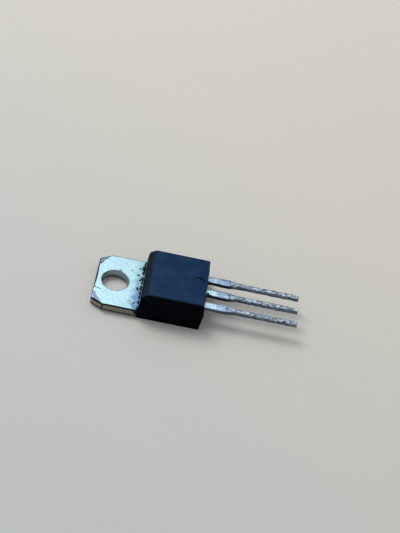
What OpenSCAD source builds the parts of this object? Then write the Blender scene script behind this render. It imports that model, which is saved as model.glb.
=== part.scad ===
// Thyristor in a flat three-lead package with a metal tab.
// Millimetres. The origin is the centre of the mounting hole on the seating face,
// +X runs along the leads, +Y across them and +Z up from the seating face to the marked face.
// Pin 1 (cathode) is at -Y, pin 2 (anode, one piece with the tab) at y = 0, pin 3 (gate) at +Y.

/* [Heatsink tab] */
// Width of the tab
tab_w = 9.9; // [9:0.05:10.1]
// Thickness of the tab and of the die pad
tab_t = 1.27; // [1.1:0.01:1.5]
// Diameter of the mounting hole
hole_d = 3.85; // [3.4:0.05:4.4]
// Hole centre to the free end of the tab
hole_to_end = 2.8; // [2.6:0.05:3.6]
// Length of the cut corners, along the tab
corner_l = 1.75; // [0.5:0.05:2.2]
// Width of the cut corners, across the tab
corner_w = 0.92; // [0.3:0.02:1.6]
// Cut corner to the fold of its pressed-down facet, along the free end
facet_reach = 1.75; // [0.3:0.05:1.8]
// How deep the facet is pressed at the cut corner
facet_drop = 0.1; // [0.05:0.01:0.3]

/* [Die pad] */
// Width of the die pad that shows on the seating face
pad_w = 7.8; // [6.6:0.05:8.3]
// Hole centre to the far end of the shown die pad
hole_to_pad_end = 10.25; // [9.6:0.05:10.6]
// Radius of the far corners of the die pad
pad_r = 0.85; // [0.3:0.05:1.5]
// Overhang of the mould-lock flange past the shown die pad
flange_w = 0.4; // [0.2:0.05:0.5]
// Height of the underside of the mould-lock flange
flange_z = 0.5; // [0.3:0.05:0.8]
// Depth of the vee groove that keeps moisture from the chip
groove_d = 0.15; // [0.05:0.01:0.3]

/* [Leads] */
// Spacing of the three leads
pitch = 2.54; // [2.3:0.01:2.7]
// Thickness of the leads
lead_t = 0.55; // [0.35:0.01:0.65]
// Height of the underside of the leads
lead_z = 2.1; // [1.9:0.05:2.4]
// Length of the leads past the parting line of the body
lead_l = 13.2; // [8:0.1:14.5]
// Width of the leads where they leave the body
root_w = 1.15; // [0.9:0.05:1.25]
// Width of the leads at the trimmed dam bar
dam_w = 1.25; // [1.2:0.05:1.6]
// Parting line of the body to the start of the dam-bar width
dam_start = 1.4; // [0.8:0.1:1.8]
// Length of the dam-bar width
dam_l = 2.05; // [1.2:0.05:2.6]
// Width of the solderable part of the leads
pin_w = 0.82; // [0.6:0.02:0.9]
// Bevel at the cropped tips
tip_bevel = 0.1; // [0.02:0.01:0.25]

/* [Bond posts] */
// Width of the bond post on each outer lead
post_w = 2.2; // [2:0.05:2.6]
// Length of the bond post
post_l = 1.35; // [1.2:0.05:1.6]
// Parting line of the body to the bond post
post_cover = 0.75; // [0.6:0.05:0.9]
// Radius of the mould-lock notches in the necks
notch_r = 0.2; // [0.1:0.02:0.28]
// Angle of the crank that joins the anode lead to the die pad
crank_angle = 60; // [50:1:65]

/* [Moulded body] */
// Width of the body at the seating face
body_w = 10.16; // [10:0.02:10.8]
// Height of the body
body_h = 4.4; // [4.1:0.05:4.8]
// Hole centre to the body's end over the tab
hole_to_body = 3.8; // [3.3:0.05:4.2]
// Hole centre to the parting line at the lead end
hole_to_parting = 12.95; // [12.7:0.05:13.6]
// Draft of the long sides, degrees
side_draft = 7; // [3:0.5:8]
// Draft of both ends, degrees
end_draft = 6; // [2:0.5:8]
// Height of the bevel over the tab
bevel_h = 0.77; // [0.4:0.01:1]
// Run of the bevel over the tab
bevel_run = 0.9; // [0.5:0.05:1.4]
// Diameter of the ejector-pin mark on the marked face
mark_d = 1.9; // [1:0.1:2.4]
// Depth of the ejector-pin mark at its centre
mark_depth = 0.12; // [0.09:0.01:0.2]
// Lean of the ejector pin's face, so that its mark is deeper on one side
mark_tilt = 3; // [0:0.5:4]
// Parting line to the centre of the ejector-pin mark
mark_inset = 1.45; // [1.45:0.05:2.5]
// Centre of the ejector-pin mark off the middle of the body, across the leads
mark_offset = -0.2; // [-0.5:0.05:0.5]

/* [Chip] */
// Side of the square chip
die_w = 3.4; // [3:0.05:3.7]
// Thickness of the chip
die_t = 0.26; // [0.18:0.01:0.36]
// Width of the sloped glass-coated edge
mesa_w = 0.18; // [0.05:0.01:0.3]
// Depth of the sloped glass-coated edge
mesa_d = 0.09; // [0.04:0.01:0.14]
// Thickness of the solder under the chip
solder_t = 0.06; // [0.03:0.01:0.1]
// Solder that shows round the chip
solder_rim = 0.12; // [0.06:0.01:0.2]

/* [Bond wires] */
// Diameter of the two cathode wires
cathode_wire_d = 0.38; // [0.3:0.01:0.44]
// Diameter of the gate wire
gate_wire_d = 0.2; // [0.12:0.01:0.25]
// Spacing of the two cathode wires
wire_spacing = 0.95; // [0.85:0.01:1.05]
// Half of the angle that a wire's arch turns through, degrees
arch_angle = 55; // [52:1:62]
// Edge of the chip to the bonds on it
bond_inset = 0.55; // [0.5:0.01:0.8]

/* [Hidden] */
$fn = 64;
// Reach of a cutting shape past what it cuts
over = 1;

// Seating heights, each on top of the last
solder_z = tab_t;
die_z = solder_z + solder_t;
die_top = die_z + die_t;
lead_top = lead_z + lead_t;

// Places along the part
flange_end = hole_to_pad_end + flange_w;
die_x = (hole_to_body + hole_to_pad_end) / 2;
groove_x = hole_to_body + 0.85;
dam_x = hole_to_parting + dam_start;
shoulder_x = dam_x + dam_l;
shoulder_run = 0.12;
tip_x = hole_to_parting + lead_l;
post_end = hole_to_parting - post_cover;
post_x = post_end - post_l / 2;

// The crank climbs from the top of the die pad to the level of the leads
crank_miter = lead_t * tan(crank_angle / 2);
crank_x = flange_end + crank_miter;
crank_top_x = crank_x + (lead_z - (tab_t - lead_t)) / tan(crank_angle);

// Bond places, x and y: two cathode wires side by side and one gate wire
bond_x = die_x + die_w / 2 - bond_inset;
cathode_wire_y = wire_spacing / 10;
cathode_bond = [bond_x - 0.5, cathode_wire_y];
cathode_post = [post_x, wire_spacing / 2 - pitch];
gate_bond = [bond_x, die_w / 2 - bond_inset];
gate_post = [post_x, pitch];

// Plan of the tab with its two cut corners
module tab_plan() {
    half = tab_w / 2;
    polygon([[-hole_to_end, half - corner_w], [-hole_to_end + corner_l, half],
             [hole_to_body, half], [hole_to_body, -half],
             [-hole_to_end + corner_l, -half], [-hole_to_end, corner_w - half]]);
}

// Plan of a strip from x0 to x1, rounded at its two far corners
module rounded_strip(x0, x1, width, r) {
    translate([x0, -width / 2]) square([x1 - r - x0, width]);
    translate([x0, r - width / 2]) square([x1 - x0, width - 2 * r]);
    for (side = [-1, 1]) translate([x1 - r, side * (width / 2 - r)]) circle(r);
}

// Half of a lead's outline, from where it starts to its tip
function lead_edge(x0) = [
    [x0, root_w / 2], [dam_x, root_w / 2], [dam_x, dam_w / 2], [shoulder_x, dam_w / 2],
    [shoulder_x + shoulder_run, pin_w / 2], [tip_x - tip_bevel, pin_w / 2],
    [tip_x, pin_w / 2 - tip_bevel]];

// Plan of a lead: the edge and its mirror image
module lead_plan(x0) {
    edge = lead_edge(x0);
    polygon(concat(edge, [for (i = [len(edge) - 1:-1:0]) [edge[i].x, -edge[i].y]]));
}

// Wedge that presses down the triangle between a cut corner and its fold line. The fold runs from
// where the cut meets the long side to facet_reach past where it meets the free end.
module corner_facet() {
    fold_l = norm([corner_l, corner_w + facet_reach]);
    slope = atan2(facet_drop, facet_reach * corner_l / fold_l);
    translate([corner_l - hole_to_end, -tab_w / 2, tab_t])
        rotate([0, 0, atan2(corner_w + facet_reach, -corner_l)])
            rotate([-slope, 0, 0])
                translate([-over, 0, 0]) cube([fold_l + 2 * over, 3 * over, over]);
}

// Crank that joins the die pad to the anode lead, seen from the side
module anode_crank() {
    rotate([90, 0, 0]) linear_extrude(root_w, center = true)
        polygon([[hole_to_pad_end - flange_w, tab_t - lead_t], [crank_x, tab_t - lead_t],
                 [crank_top_x, lead_z], [hole_to_parting, lead_z], [hole_to_parting, lead_top],
                 [crank_top_x - crank_miter, lead_top], [crank_x - crank_miter, tab_t],
                 [hole_to_pad_end - flange_w, tab_t]]);
}

// Tab, die pad, crank and anode lead, stamped from one strip
module heatsink_header() color([0.80, 0.83, 0.85]) difference() {
    union() {
        linear_extrude(tab_t) tab_plan();
        linear_extrude(tab_t) rounded_strip(hole_to_body - over, hole_to_pad_end, pad_w, pad_r);
        translate([0, 0, flange_z]) linear_extrude(tab_t - flange_z)
            rounded_strip(hole_to_body - over, flange_end, pad_w + 2 * flange_w, pad_r + flange_w);
        anode_crank();
        translate([0, 0, lead_z]) linear_extrude(lead_t) lead_plan(crank_top_x);
    }
    translate([0, 0, -over]) cylinder(h = tab_t + 2 * over, d = hole_d);
    corner_facet();
    mirror([0, 1, 0]) corner_facet();
    translate([groove_x, 0, tab_t]) rotate([90, 0, 0])
        linear_extrude(tab_w, center = true)
            polygon([[-2 * groove_d, groove_d], [0, -groove_d], [2 * groove_d, groove_d]]);
}

// Outer lead with its bond post and notched neck
module outer_lead() {
    translate([0, 0, lead_z]) difference() {
        union() {
            translate([post_end - post_l, -post_w / 2, 0]) cube([post_l, post_w, lead_t]);
            linear_extrude(lead_t) lead_plan(post_x);
        }
        for (side = [-1, 1])
            translate([hole_to_parting - post_cover / 2, side * root_w / 2, -over])
                cylinder(h = lead_t + 2 * over, r = notch_r);
    }
}

module cathode_lead() color([0.72, 0.75, 0.78]) translate([0, -pitch, 0]) outer_lead();

module gate_lead() color([0.72, 0.75, 0.78]) translate([0, pitch, 0]) outer_lead();

// Square plate whose four upper edges slope in over rim_h
module mesa_plate(side, height, rim_w, rim_h) {
    half = side / 2;
    profile = [[-half, 0], [half, 0], [half, height - rim_h], [half - rim_w, height],
               [rim_w - half, height], [-half, height - rim_h]];
    intersection() {
        rotate([90, 0, 0]) linear_extrude(side, center = true) polygon(profile);
        rotate([90, 0, 90]) linear_extrude(side, center = true) polygon(profile);
    }
}

module die_solder() color([0.62, 0.63, 0.66])
    translate([die_x, 0, solder_z])
        mesa_plate(die_w + 2 * solder_rim, solder_t, solder_rim / 2, solder_t / 2);

module thyristor_die() color([0.30, 0.32, 0.38])
    translate([die_x, 0, die_z]) mesa_plate(die_w, die_t, mesa_w, mesa_d);

// Flattened foot of a wedge bond, with its middle at the origin and its length along X
module bond_foot(d) {
    foot_l = 2.4 * d;
    foot_w = 1.4 * d;
    linear_extrude(foot_height(d)) {
        square([foot_l - foot_w, foot_w], center = true);
        for (end = [-1, 1]) translate([end * (foot_l - foot_w) / 2, 0]) circle(d = foot_w);
    }
}

function foot_height(d) = 0.85 * d;

// Wire of diameter d that arches from a bond at height z0 to a bond at height z1
module bond_wire(d, from, to, z0, z1) {
    heel = 0.6 * d;
    run = norm(to - from);
    chord = norm([run, z1 - z0]);
    tilt = atan2(z1 - z0, run);
    arch_r = chord / (2 * sin(arch_angle));
    drop = arch_r * cos(arch_angle);
    translate([from.x, from.y, z0])
        rotate([0, 0, atan2(to.y - from.y, to.x - from.x)]) {
            translate([-heel, 0, 0]) bond_foot(d);
            translate([run + heel, 0, z1 - z0]) bond_foot(d);
            translate([run / 2 + drop * sin(tilt), 0, (z1 - z0 + foot_height(d)) / 2 - drop * cos(tilt)])
                rotate([90, 0, 0]) rotate([0, 0, 90 + tilt - arch_angle])
                    rotate_extrude(angle = 2 * arch_angle) translate([arch_r, 0]) circle(d = d);
        }
}

// One of the two cathode wires, shifted to its place in the pair
module cathode_wire(shift) {
    bond_wire(cathode_wire_d, cathode_bond - [0, shift], cathode_post - [0, shift],
              die_top, lead_top);
}

module cathode_wire_inner() color([0.86, 0.87, 0.88]) cathode_wire(0);

module cathode_wire_outer() color([0.86, 0.87, 0.88]) cathode_wire(wire_spacing);

module gate_wire() color([0.86, 0.87, 0.88])
    bond_wire(gate_wire_d, gate_bond, gate_post, die_top, lead_top);

// Outer form of the body: a side profile crossed with an end profile, so every face is flat
module body_block() {
    parting_z = lead_z + lead_t / 2;
    bevel_z = body_h - bevel_h;
    bevel_x = hole_to_body + (bevel_z - tab_t) * tan(end_draft);
    top_half = body_w / 2 - body_h * tan(side_draft);
    intersection() {
        rotate([90, 0, 0]) linear_extrude(body_w, center = true)
            polygon([[hole_to_body, 0], [hole_to_body, tab_t], [bevel_x, bevel_z],
                     [bevel_x + bevel_run, body_h],
                     [hole_to_parting - (body_h - parting_z) * tan(end_draft), body_h],
                     [hole_to_parting, parting_z],
                     [hole_to_parting - parting_z * tan(end_draft), 0]]);
        rotate([90, 0, 90]) linear_extrude(hole_to_parting + over)
            polygon([[-body_w / 2, 0], [body_w / 2, 0], [top_half, body_h], [-top_half, body_h]]);
    }
}

// Epoxy moulded round everything inside it
module moulded_body() color([0.10, 0.12, 0.17]) difference() {
    body_block();
    translate([hole_to_parting - mark_inset, mark_offset, body_h - mark_depth])
        rotate([-mark_tilt, mark_tilt, 0]) cylinder(h = over, d = mark_d);
    heatsink_header();
    cathode_lead();
    gate_lead();
    die_solder();
    thyristor_die();
    cathode_wire_inner();
    cathode_wire_outer();
    gate_wire();
}

heatsink_header();
cathode_lead();
gate_lead();
die_solder();
thyristor_die();
cathode_wire_inner();
cathode_wire_outer();
gate_wire();
moulded_body();
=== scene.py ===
# %% [markdown]
# # A thyristor in its flat three-lead package
# The real part is about 29 mm long. A press cuts a tab, a die pad and three leads from tinned
# copper, the chip is soldered to the pad, black epoxy is moulded over it, and the leads are
# dipped in solder. The construction model holds every size, so this file loads it and gives
# each visible surface the shape and finish that those steps leave.

# %% Load the construction model
import math

import bmesh
import bpy
import numpy as np
from mathutils import Matrix, Vector


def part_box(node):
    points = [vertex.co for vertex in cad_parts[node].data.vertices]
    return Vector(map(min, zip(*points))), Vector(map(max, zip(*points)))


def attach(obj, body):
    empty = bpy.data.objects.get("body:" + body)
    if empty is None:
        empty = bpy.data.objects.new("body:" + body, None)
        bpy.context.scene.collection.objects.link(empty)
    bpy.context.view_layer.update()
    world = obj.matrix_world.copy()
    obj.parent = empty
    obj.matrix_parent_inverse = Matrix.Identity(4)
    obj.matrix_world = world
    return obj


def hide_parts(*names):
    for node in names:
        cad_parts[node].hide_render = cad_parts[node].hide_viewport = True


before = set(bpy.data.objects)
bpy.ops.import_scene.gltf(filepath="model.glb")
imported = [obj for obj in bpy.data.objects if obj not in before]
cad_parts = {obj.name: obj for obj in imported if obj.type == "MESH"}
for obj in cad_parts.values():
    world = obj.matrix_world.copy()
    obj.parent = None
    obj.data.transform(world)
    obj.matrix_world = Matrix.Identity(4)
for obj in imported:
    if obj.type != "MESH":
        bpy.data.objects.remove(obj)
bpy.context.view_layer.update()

MM = 0.001
print("nodes:", sorted(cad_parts))

# %% [markdown]
# ## Sizes
# The object lies on its back. The origin is the centre of the mounting hole, X runs along the
# leads, Y across them and Z up. Outer sizes are read from the loaded model, so the new surfaces
# can't drift away from it. The few inner ones that a box can't tell are repeated here, in mm.

# %% Sizes in millimetres
def node_box(name):
    """Lowest and highest corner of a node of the construction model, in mm."""
    low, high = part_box(name)
    return np.array(low) / MM, np.array(high) / MM


header_low, header_high = node_box("heatsink_header")
body_low, body_high = node_box("moulded_body")
outer_low, outer_high = node_box("cathode_lead")

TAB_END, TAB_HALF, TIP_X = header_low[0], header_high[1], header_high[0]
LEAD_Z, LEAD_TOP = outer_low[2], outer_high[2]
BODY_X, BODY_TOP = body_low[0], body_high[2]
PITCH = -(outer_low[1] + outer_high[1]) / 2
TAB_T, HOLE_R = 1.27, 1.925
CORNER_L, CORNER_W = 1.75, 0.92  # cut corners, along and across the tab
FACET_REACH, FACET_DROP = 1.75, 0.1  # their pressed facets, along the side and down
PAD_HALF, PAD_END, PAD_R = 3.9, 10.25, 0.85  # die pad, as it shows on the back
FLANGE_W, FLANGE_Z = 0.4, 0.5  # wider upper part of the pad
GROOVE_X, GROOVE_D = 4.65, 0.15
PARTING_X = 12.95  # lead end of the case, where the mould halves meet
ROOT_W, DAM_W, PIN_W = 1.15, 1.25, 0.82  # width of a lead: at the case, at the dam bar, beyond it
DAM_X, SHOULDER_X = 14.35, 16.4
POST_W, POST_END = 2.2, 12.2  # bond post inside the case
NOTCH_X, NOTCH_R = 12.575, 0.2
LEAD_T = LEAD_TOP - LEAD_Z
CRANK_Z, CRANK_X = TAB_T - LEAD_T / 2, 10.94
CRANK_TOP_X = CRANK_X + (LEAD_Z - TAB_T + LEAD_T) / math.tan(math.radians(60))
MARK_X, MARK_Y, MARK_R = 11.5, -0.2, 0.95  # ejector mark
print("tab", TAB_END, "to", BODY_X, "lead tips at", TIP_X, "pitch", round(PITCH, 3))

# %% [markdown]
# ## Helpers for surfaces
# Every new surface is a grid of points worked out in whole arrays, and becomes a mesh that rides
# on the model. A sum of waves gives the small random relief of rolled metal and solder.

# %% Random relief from plane waves
def ripple(points, wavelength, seed, waves=26):
    """Smooth random relief, about one high. It is the sum of plane waves of one wavelength,
    each with its own random heading and phase, divided by the root of half their number."""
    draw = np.random.default_rng(seed)
    heading = draw.normal(size=(waves, 3))
    heading *= 2 * np.pi / wavelength / np.linalg.norm(heading, axis=1, keepdims=True)
    phase = draw.uniform(0, 2 * np.pi, waves)
    return np.cos(points @ heading.T + phase).sum(-1) / math.sqrt(waves / 2)


def smooth_step(value, start, end):
    """Rises from 0 at start to 1 at end: t squared times 3 less 2 t, with t the share of the way."""
    t = np.clip((value - start) / (end - start), 0, 1)
    return t * t * (3 - 2 * t)


def fan(count, start=0.0, end=1.0, last=True):
    """Evenly spaced values from start to end, with or without the last one."""
    return np.linspace(start, end, count, endpoint=last)


# %% Grids to faces
def ring_cells(rows, columns, rows_join=False):
    """Corner numbers of the cells of a grid whose columns join up into rings. The last row
    joins the first too when rows_join is true, which closes the surface like a torus."""
    row = np.arange(rows if rows_join else rows - 1)[:, None]
    column = np.arange(columns)[None, :]
    after, beside = (row + 1) % rows, (column + 1) % columns
    corners = (row * columns + column, row * columns + beside,
               after * columns + beside, after * columns + column)
    return np.stack(np.broadcast_arrays(*corners), -1).reshape(-1, 4)


def enclosed_volume(points, cells):
    """Volume inside four-sided cells: a sixth of the sum of each triangle's triple product."""
    a, b, c, d = (points[cells[:, k]] for k in range(4))
    return ((a * np.cross(b, c)).sum() + (a * np.cross(c, d)).sum()) / 6


# %% Faces to a piece
def new_object(name, data):
    """An object of the scene that holds this mesh, lamp or camera."""
    made = bpy.data.objects.new(name, data)
    bpy.context.scene.collection.objects.link(made)
    return made


def make_piece(name, points, cells, caps=(), zones=None, sharp=40):
    """A mesh object from points in mm, cells and end caps, with its faces turned outwards.
    zones holds up to three masks per point, kept as the colour attribute 'zones'."""
    points = points.reshape(-1, 3)
    if enclosed_volume(points - points.mean(0), cells) < 0:
        cells, caps = cells[:, ::-1], [cap[::-1] for cap in caps]
    faces = cells.tolist() + [list(map(int, cap)) for cap in caps]
    mesh = bpy.data.meshes.new(name)
    mesh.from_pydata((points * MM).tolist(), [], faces)
    mesh.shade_smooth()
    mesh.set_sharp_from_angle(angle=math.radians(sharp))
    if zones is not None:
        masks = np.ones((len(points), 4))
        masks[:, :3] = zones.reshape(-1, 3)
        mesh.color_attributes.new("zones", "FLOAT_COLOR", "POINT")
        mesh.attributes["zones"].data.foreach_set("color", masks.ravel())
    mesh.validate()
    piece = new_object(name, mesh)
    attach(piece, "root")
    low, high = points.min(0), points.max(0)
    print(f"{name}: {len(faces)} faces, from {low.round(2)} to {high.round(2)} mm")
    return piece


def make_bar(name, points, **settings):
    """A piece from rings of points along a path, closed by its first and its last ring."""
    rows, columns = points.shape[:2]
    caps = [np.arange(columns)[::-1], np.arange(columns) + (rows - 1) * columns]
    return make_piece(name, points, ring_cells(rows, columns), caps, **settings)


# %% [markdown]
# ## The stamped plate
# On the real part the tab and the die pad are one thick piece of copper. A punch rolls the upper
# edges over, leaves the upper part of the cut smooth and tears the lower part, and a second hit
# presses the two cut corners down. A box with a hole would show none of that. The plate's outline
# can be seen whole from the hole's centre, so the surface is a ring: one parameter turns round
# the hole, the other walks round the section, up the hole, over the top, down the side and back.

# %% Outlines as distances from the hole
TAB_CORNER, INNER_CORNER = 0.1, 0.02


def rounded_outline(corners, cuts, steps=7):
    """Each corner is replaced by a parabolic arc that starts and ends at cut distance from it."""
    ahead = np.roll(corners, -1, axis=0) - corners
    behind = np.roll(corners, 1, axis=0) - corners
    start = corners + behind / np.linalg.norm(behind, axis=1, keepdims=True) * cuts[:, None]
    end = corners + ahead / np.linalg.norm(ahead, axis=1, keepdims=True) * cuts[:, None]
    t = fan(steps)[None, :, None]
    arcs = (1 - t) ** 2 * start[:, None] + 2 * t * (1 - t) * corners[:, None] + t * t * end[:, None]
    return arcs.reshape(-1, 2)


def plate_outline(half, end, end_cut):
    """Plan of the tab with its cut corners, and behind it the narrower pad."""
    corners = [(TAB_END, CORNER_W - TAB_HALF), (TAB_END + CORNER_L, -TAB_HALF),
               (BODY_X, -TAB_HALF), (BODY_X, -half), (end, -half)]
    corners += [(x, -y) for x, y in corners[::-1]]
    cuts = [TAB_CORNER, TAB_CORNER, INNER_CORNER, INNER_CORNER, end_cut]
    return rounded_outline(np.array(corners), np.array(cuts + cuts[::-1]))


def reach(bearing, outline):
    """Distance from the hole's centre to the outline along each bearing: where the ray crosses
    the straight edge that spans that bearing."""
    outline = outline[np.argsort(np.arctan2(outline[:, 1], outline[:, 0]))]
    turns = np.arctan2(outline[:, 1], outline[:, 0])
    spans = np.searchsorted(turns, bearing, side="right") - 1
    a, b = outline[spans], outline[(spans + 1) % len(outline)]
    edge = b - a
    cross = a[:, 0] * edge[:, 1] - a[:, 1] * edge[:, 0]
    return cross / (np.cos(bearing) * edge[:, 1] - np.sin(bearing) * edge[:, 0])


# %% Bearings round the hole
STOP_SPACING, SEAM_SPREAD = 0.11, 0.2
upper = plate_outline(PAD_HALF + FLANGE_W, PAD_END + FLANGE_W, PAD_R + FLANGE_W)
lower = plate_outline(PAD_HALF, PAD_END, PAD_R)
walk = np.concatenate([upper, upper[:1]])
length = np.concatenate([[0], np.cumsum(np.linalg.norm(np.diff(walk, axis=0), axis=1))])
even = np.arange(0, length[-1], STOP_SPACING)
around = np.stack([np.interp(even, length, walk[:, k]) for k in (0, 1)], 1)
seam_x = TAB_END + CORNER_L
beside = seam_x + fan(11, -SEAM_SPREAD, SEAM_SPREAD)
seams = [np.stack([beside, 0 * beside + y], 1) for y in (-TAB_HALF, TAB_HALF)]
stops = np.concatenate([around, upper, lower, *seams])
bearing = np.unique(np.round(np.arctan2(stops[:, 1], stops[:, 0]), 4))
far, near = reach(bearing, upper), reach(bearing, lower)
print(len(bearing), "bearings, reach", far.min().round(2), "to", far.max().round(2), "mm")

# %% Height of the upper face
FOLD_RUN, FOLD_RISE = CORNER_L, CORNER_W + FACET_REACH
FOLD_LENGTH = math.hypot(FOLD_RUN, FOLD_RISE)
FOLD_SOFT = 0.04  # the fold is rounded over about this width
ROLLED_IN, DEEPEST = 0.009, 0.03  # mean and greatest depth of the rolling waves


def fold_distance(x, y):
    """How far a point lies past the fold of the pressed corner: the cross product of the fold's
    direction with the way from the fold's end to the point."""
    return ((TAB_END + CORNER_L - x) * FOLD_RISE + (np.abs(y) - TAB_HALF) * FOLD_RUN) / FOLD_LENGTH


def top_height(x, y):
    """Thickness, less the pressed corners, the vee groove and a few microns of rolling waves. The
    fold is the soft maximum of 0 and the distance past it: the log of one plus its exponential."""
    flat = np.stack([x, y, np.zeros_like(x)], -1)
    slope = FACET_DROP / (FACET_REACH * CORNER_L / FOLD_LENGTH)
    pressed = slope * FOLD_SOFT * np.logaddexp(0, fold_distance(x, y) / FOLD_SOFT)
    groove = np.maximum(0, GROOVE_D - np.abs(x - GROOVE_X))
    waves = 0.004 * ripple(flat, 2.8, 11) + 0.0016 * ripple(flat, 0.8, 12)
    return TAB_T - pressed - groove - np.clip(ROLLED_IN - waves, 0, DEEPEST)


# %% The section, walked once round
HOLE_ROLL, BURR, STEP_DROP = 0.07, 0.035, 0.04  # roll and burr at the hole, slope of the flange
ROLL_W, ROLL_H, CUT_ROLL_H = 0.18, 0.19, 0.1  # press roll of the outer edge, deeper on the cut corners
directions = np.stack([np.cos(bearing), np.sin(bearing)], -1)
edge_x, edge_y = far * np.cos(bearing), far * np.sin(bearing)
on_cut = smooth_step(fold_distance(edge_x, edge_y), 0.1, 0.3)
roll_h = ROLL_H + CUT_ROLL_H * on_cut

# One column of shares for each stretch of the walk
up = fan(7, BURR, TAB_T - HOLE_ROLL, last=False)[:, None]
quarter = fan(7, 0, np.pi / 2)[:, None]
share = fan(46, last=False)[1:, None]
side, step, chamfer = fan(6)[1:, None], fan(4)[1:, None], fan(4)[1:, None]
foot = fan(6, FLANGE_Z - STEP_DROP, BURR)[1:, None]
back = fan(26, last=False)[1:, None]

top_rho = np.concatenate([
    HOLE_R + HOLE_ROLL * (1 - np.cos(quarter)) + 0 * far,
    HOLE_R + HOLE_ROLL + share * (far - HOLE_R - HOLE_ROLL - ROLL_W),
    far - ROLL_W * (1 - np.sin(quarter))])
top_drop = np.concatenate([
    HOLE_ROLL * (1 - np.sin(quarter)) + 0 * far, 0 * share * far, roll_h * (1 - np.cos(quarter))])
top_z = top_height(top_rho * np.cos(bearing), top_rho * np.sin(bearing)) - top_drop
side_z = top_z[-1] + side * (FLANGE_Z - top_z[-1])
rho = np.concatenate([
    HOLE_R + 0 * up * far, top_rho, far + 0 * side, far + step * (near - far), near + 0 * foot,
    near - BURR * chamfer, near - BURR + back * (HOLE_R + 2 * BURR - near),
    HOLE_R + BURR * (1 - chamfer) + 0 * far])
z = np.concatenate([
    up + 0 * far, top_z, side_z, FLANGE_Z - STEP_DROP * step + 0 * far, foot + 0 * far,
    BURR * (1 - chamfer) + 0 * far, 0 * back * far, BURR * chamfer + 0 * far])
rho, z = rho[:-1], z[:-1]  # the last point is the first one again
print(len(rho), "points round the section")

# %% Torn lower half of the cut
TORN_Z, TORN_D, SEAM_W, SEAM_D = 0.75, 0.012, 0.1, 0.05  # top of the torn part, depths, width
row = np.arange(len(rho))[:, None]
first_top, first_side = len(up), len(up) + len(top_rho)
first_back = first_side + len(side) + len(step) + len(foot) + len(chamfer)
in_hole = row < first_top
on_top = ((row >= first_top) & (row < first_side)) * 1.0
on_side = ((row >= first_side) & (row < first_back)) * 1.0
is_cut = in_hole + on_side
points = np.stack([rho * np.cos(bearing), rho * np.sin(bearing), z], -1)
torn = is_cut * smooth_step(TORN_Z - z, 0, 0.2)
depth = torn * (TORN_D + TORN_D / 2 * ripple(points * [1, 1, 0.35], 0.35, 21))
inward = np.where(in_hole, -0.3, 1.0)
points[..., :2] -= (np.clip(depth, 0, 0.03) * inward)[..., None] * directions

# The corner punch and the blanking punch overlap in an upright seam
seam = np.exp(-((edge_x - seam_x) / SEAM_W) ** 4) * on_side
points[..., :2] -= (SEAM_D * seam)[..., None] * directions
print("torn to", depth.max().round(3), "mm deep, seams", SEAM_D)

# %% Stain and nicks
# The resin stain is strongest in the front corner beside the case, and fades along and away
UPPER_Z, NICK_D = 1.0, 0.025
x, y = points[..., 0], points[..., 1]
on_face = (z > UPPER_Z) * (1 - on_side)
blotch = ripple(points, 1.1, 31) * 0.5 + ripple(points, 0.42, 32) * 0.35
stain = smooth_step(x + 0.3 * blotch, 2.15, 3.5) * (0.34 + 0.46 * smooth_step(-y, -0.6, 2.4))
haze = np.exp(-((x - 3.45) / 0.75) ** 2 - ((y - 0.9) / 2.1) ** 2) * (0.5 + 0.35 * blotch)
# the near pressed corner gets a larger share than the far one, as painted shade over its tarnish
facet = smooth_step(fold_distance(x, y) + 0.05 * blotch, -0.04, 0.08) \
    * np.where(y > 0, 0.92, 1.0) * (1 + 0.12 * blotch)
stain = np.clip(np.max([stain, haze, facet], axis=0), 0, 1) * on_face + 0.45 * on_side * on_cut

# Nicks: short dark dents, by centre, half length, half width and turn in degrees
NICKS = np.array([
    (0.5, 2.13, 0.24, 0.1, -15), (-1.53, -1.24, 0.1, 0.07, 50), (0.75, -1.86, 0.14, 0.05, 20),
    (-2.5, -1.86, 0.3, 0.1, -35), (-2.0, -2.06, 0.28, 0.08, -15), (2.58, -3.3, 0.13, 0.1, 0),
    (3.2, -3.6, 0.2, 0.12, 60), (-0.9, 2.16, 0.08, 0.05, 0), (2.09, 2.6, 0.14, 0.08, 0),
    (1.1, 3.9, 0.1, 0.06, 30), (-2.35, 3.1, 0.25, 0.1, 40)])
turn = np.radians(NICKS[:, 4])
dx, dy = x[..., None] - NICKS[:, 0], y[..., None] - NICKS[:, 1]
along = (dx * np.cos(turn) + dy * np.sin(turn)) / NICKS[:, 2]
across = (dy * np.cos(turn) - dx * np.sin(turn)) / NICKS[:, 3]
nick = np.exp(-(along ** 2 + across ** 2)).max(-1) * on_face
points[..., 2] -= NICK_D * nick
print(len(NICKS), "nicks, stain on", (stain > 0.3).mean().round(2), "of the points")

# %% Zones for the finish, and the plate
# Red marks dark edges, seams and nicks, and painted shade at the foot of the cut sides and of the
# hole; green bare sheared copper, blue stained tin. The dark band along the rolled edges is a
# painted dark reflection: darkest at the front and at the tab's end, and wider on the far side.
at_end = edge_x < TAB_END + 0.1
away = smooth_step(edge_y + 0.6 * at_end * TAB_HALF, 0, 3)
edge_reflection_band = (1 - 0.45 * away * ~at_end) \
    * (1 - smooth_step(far - rho, 0.09 + 0.09 * away, 0.22 + 0.12 * away))
hole_rim_reflection_band = 0.75 * (1 - smooth_step(rho - HOLE_R, 0.05, 0.17))
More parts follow.
